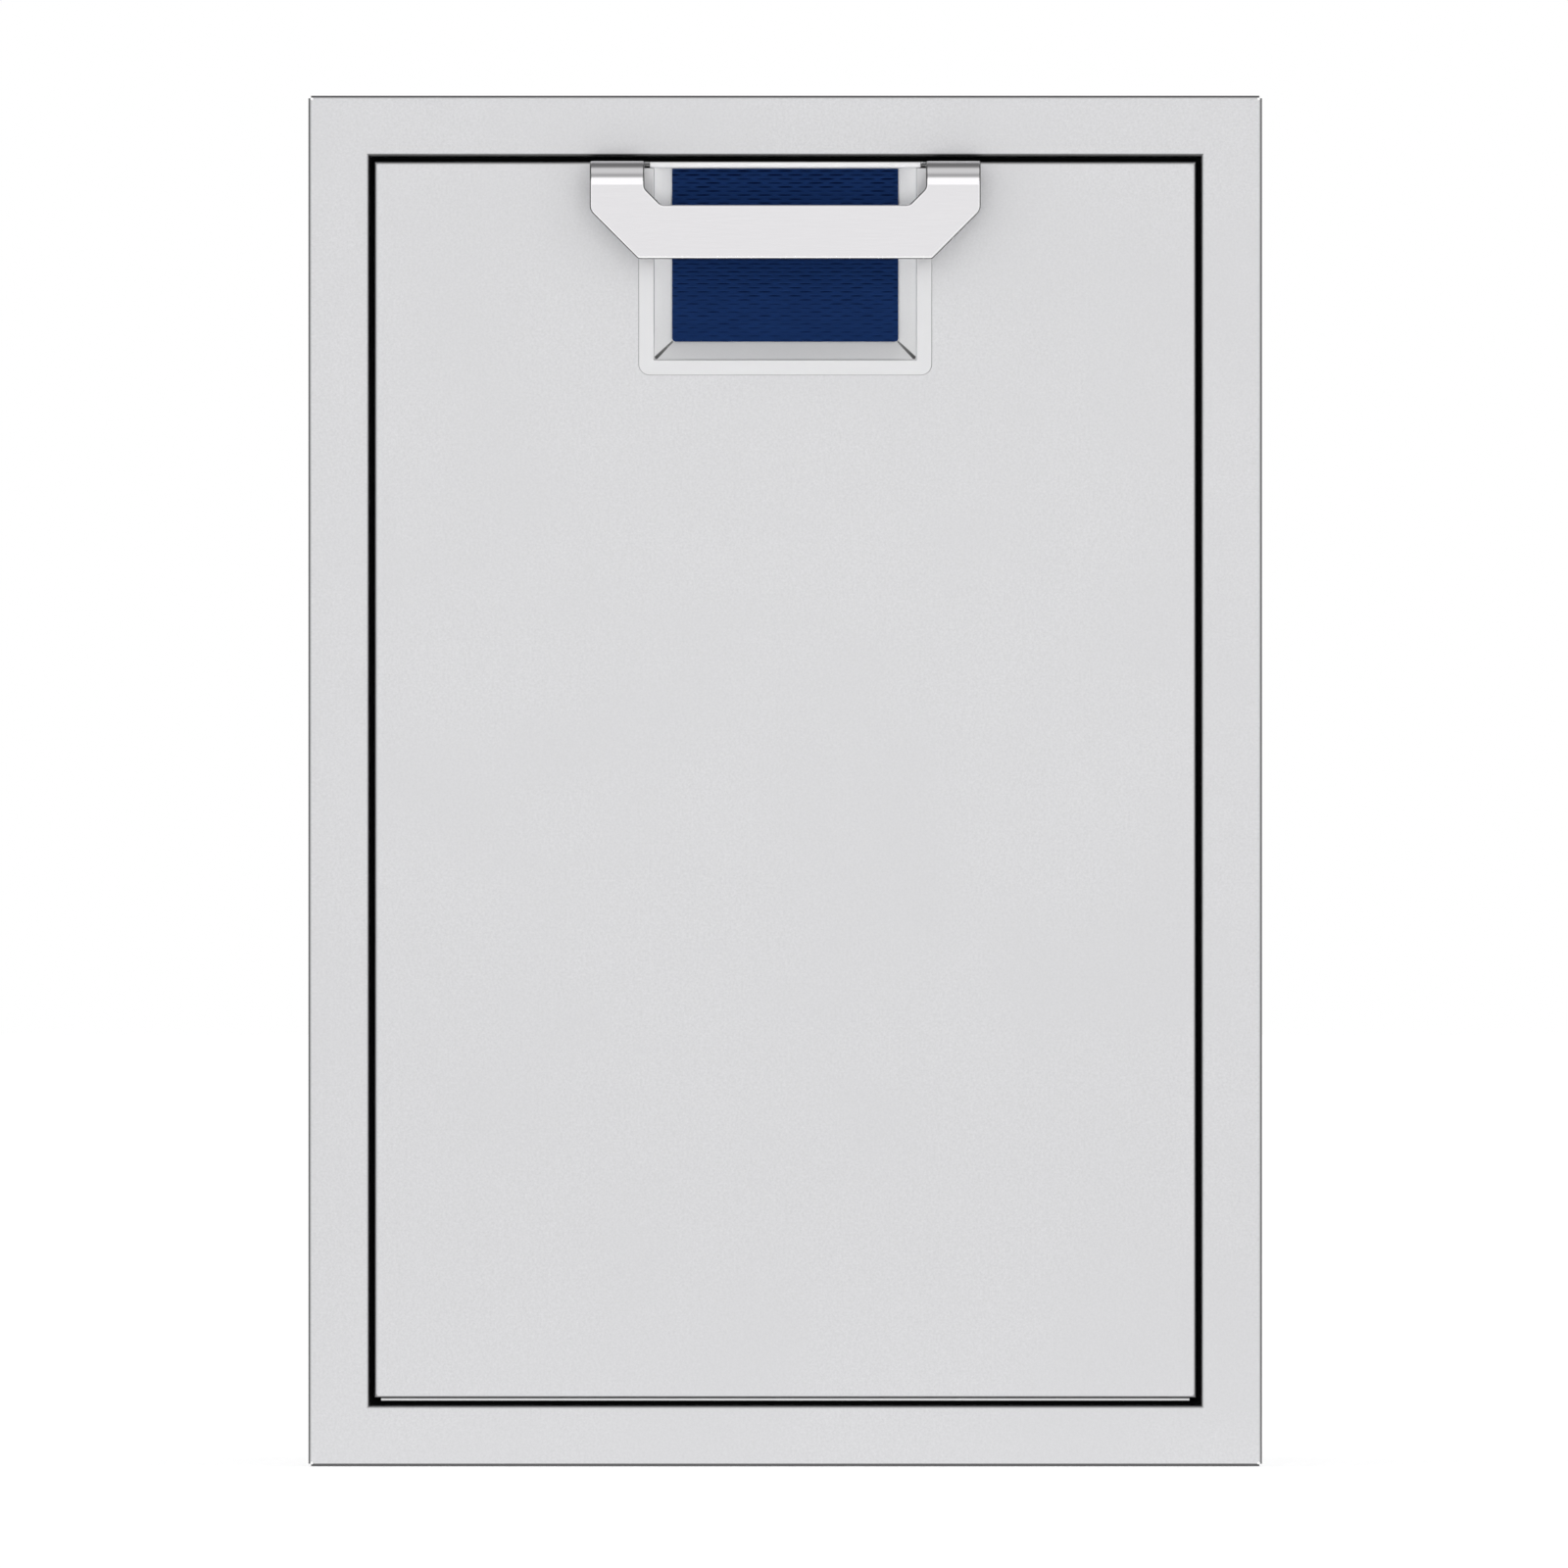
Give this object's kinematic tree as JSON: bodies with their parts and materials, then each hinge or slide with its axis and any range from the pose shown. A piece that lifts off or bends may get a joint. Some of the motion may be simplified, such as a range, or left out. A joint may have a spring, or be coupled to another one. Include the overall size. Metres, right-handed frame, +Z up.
{
  "type": "roll out trash drawer",
  "caption": "Stainless built-in drawer with a flanged frame, flat front, bent bar pull over a blue recess, ball slides and lift-out bins.",
  "frame": {"origin": "middle of the cut-out's sill, in the plane of the island face behind the flange", "axes": "+X right seen from the front, +Y back into the island, +Z up"},
  "size_m": [0.508, 0.6342, 0.7303],
  "materials": {
    "face_stainless": "fine satin grain",
    "panel_stainless": "plain mill finish",
    "polished_stainless": "bright polish",
    "blue_emboss": "embossed dark blue",
    "black_rubber": "matt black",
    "carrier_steel": "plain mill finish",
    "zinc_steel": "bright zinc plate",
    "cage_steel": "bare strip",
    "bearing_balls": "polished",
    "lever_plastic": "moulded black",
    "fastener_steel": "plain stainless",
    "bin_plastic": "fine moulded grain"
  },
  "bodies": {
    "cabinet": {"face_frame": "face_stainless", "side_panel_left": "panel_stainless", "side_panel_right": "panel_stainless", "back_panel": "panel_stainless", "back_panel_screws": "fastener_steel", "floor_pan": "panel_stainless", "gasket": "black_rubber", "slide_bracket_left": "carrier_steel", "slide_bracket_right": "carrier_steel", "slide_outer_left": "zinc_steel", "slide_outer_right": "zinc_steel", "slide_outer_screws": "fastener_steel"},
    "drawer": {"slide_inner_left": "zinc_steel", "slide_inner_right": "zinc_steel", "slide_inner_screws": "fastener_steel", "lever_rivets": "fastener_steel", "front_skin": "face_stainless", "front_liner": "panel_stainless", "handle_bezel": "polished_stainless", "bezel_insert": "blue_emboss", "pull_handle": "polished_stainless", "handle_screws": "fastener_steel", "carrier_side_left": "carrier_steel", "carrier_side_right": "carrier_steel", "carrier_front": "carrier_steel", "carrier_rear": "carrier_steel", "carrier_plate": "carrier_steel", "carrier_screws": "fastener_steel", "front_brace_left": "carrier_steel", "front_brace_right": "carrier_steel", "front_screws": "fastener_steel"},
    "front_bin": {"bin_front": "bin_plastic"},
    "rear_bin": {"bin_rear": "bin_plastic"},
    "middle_left": {"slide_middle_left": "zinc_steel"},
    "lever_left": {"release_lever_left": "lever_plastic"},
    "outer_cage_left": {"outer_cage_left": "cage_steel", "outer_balls_left": "bearing_balls"},
    "inner_cage_left": {"inner_cage_left": "cage_steel", "inner_balls_left": "bearing_balls"},
    "middle_right": {"slide_middle_right": "zinc_steel"},
    "lever_right": {"release_lever_right": "lever_plastic"},
    "outer_cage_right": {"outer_cage_right": "cage_steel", "outer_balls_right": "bearing_balls"},
    "inner_cage_right": {"inner_cage_right": "cage_steel", "inner_balls_right": "bearing_balls"}
  },
  "joints": [
    {"name": "drawer_slide", "type": "slide", "parent": "cabinet", "child": "drawer", "axis": [0, -1, 0], "range_m": [0, 0.559]},
    {"name": "middle_left_slide", "type": "slide", "parent": "cabinet", "child": "middle_left", "axis": [0, -1, 0], "range_m": [0, 0.2795]},
    {"name": "outer_cage_left_slide", "type": "slide", "parent": "cabinet", "child": "outer_cage_left", "axis": [0, -1, 0], "range_m": [0, 0.13975]},
    {"name": "inner_cage_left_slide", "type": "slide", "parent": "cabinet", "child": "inner_cage_left", "axis": [0, -1, 0], "range_m": [0, 0.41925]},
    {"name": "lever_left_hinge", "type": "hinge", "parent": "drawer", "child": "lever_left", "pos_m": [-0.19875, 0.21405, 0.52], "axis": [1, 0, 0], "range_deg": [-6, 6], "stiffness_Nm_per_rad": 0.05},
    {"name": "middle_right_slide", "type": "slide", "parent": "cabinet", "child": "middle_right", "axis": [0, -1, 0], "range_m": [0, 0.2795]},
    {"name": "outer_cage_right_slide", "type": "slide", "parent": "cabinet", "child": "outer_cage_right", "axis": [0, -1, 0], "range_m": [0, 0.13975]},
    {"name": "inner_cage_right_slide", "type": "slide", "parent": "cabinet", "child": "inner_cage_right", "axis": [0, -1, 0], "range_m": [0, 0.41925]},
    {"name": "lever_right_hinge", "type": "hinge", "parent": "drawer", "child": "lever_right", "pos_m": [0.19875, 0.21405, 0.52], "axis": [1, 0, 0], "range_deg": [-6, 6], "stiffness_Nm_per_rad": 0.05},
    {"name": "front_bin_lift", "type": "slide", "parent": "drawer", "child": "front_bin", "axis": [0, 0, 1], "range_m": [0, 0.56]},
    {"name": "rear_bin_lift", "type": "slide", "parent": "drawer", "child": "rear_bin", "axis": [0, 0, 1], "range_m": [0, 0.56]}
  ],
  "couplings": [
    {"joint": "middle_left_slide", "follows": "drawer_slide", "ratio": 0.5},
    {"joint": "outer_cage_left_slide", "follows": "drawer_slide", "ratio": 0.25},
    {"joint": "inner_cage_left_slide", "follows": "drawer_slide", "ratio": 0.75},
    {"joint": "middle_right_slide", "follows": "drawer_slide", "ratio": 0.5},
    {"joint": "outer_cage_right_slide", "follows": "drawer_slide", "ratio": 0.25},
    {"joint": "inner_cage_right_slide", "follows": "drawer_slide", "ratio": 0.75}
  ]
}
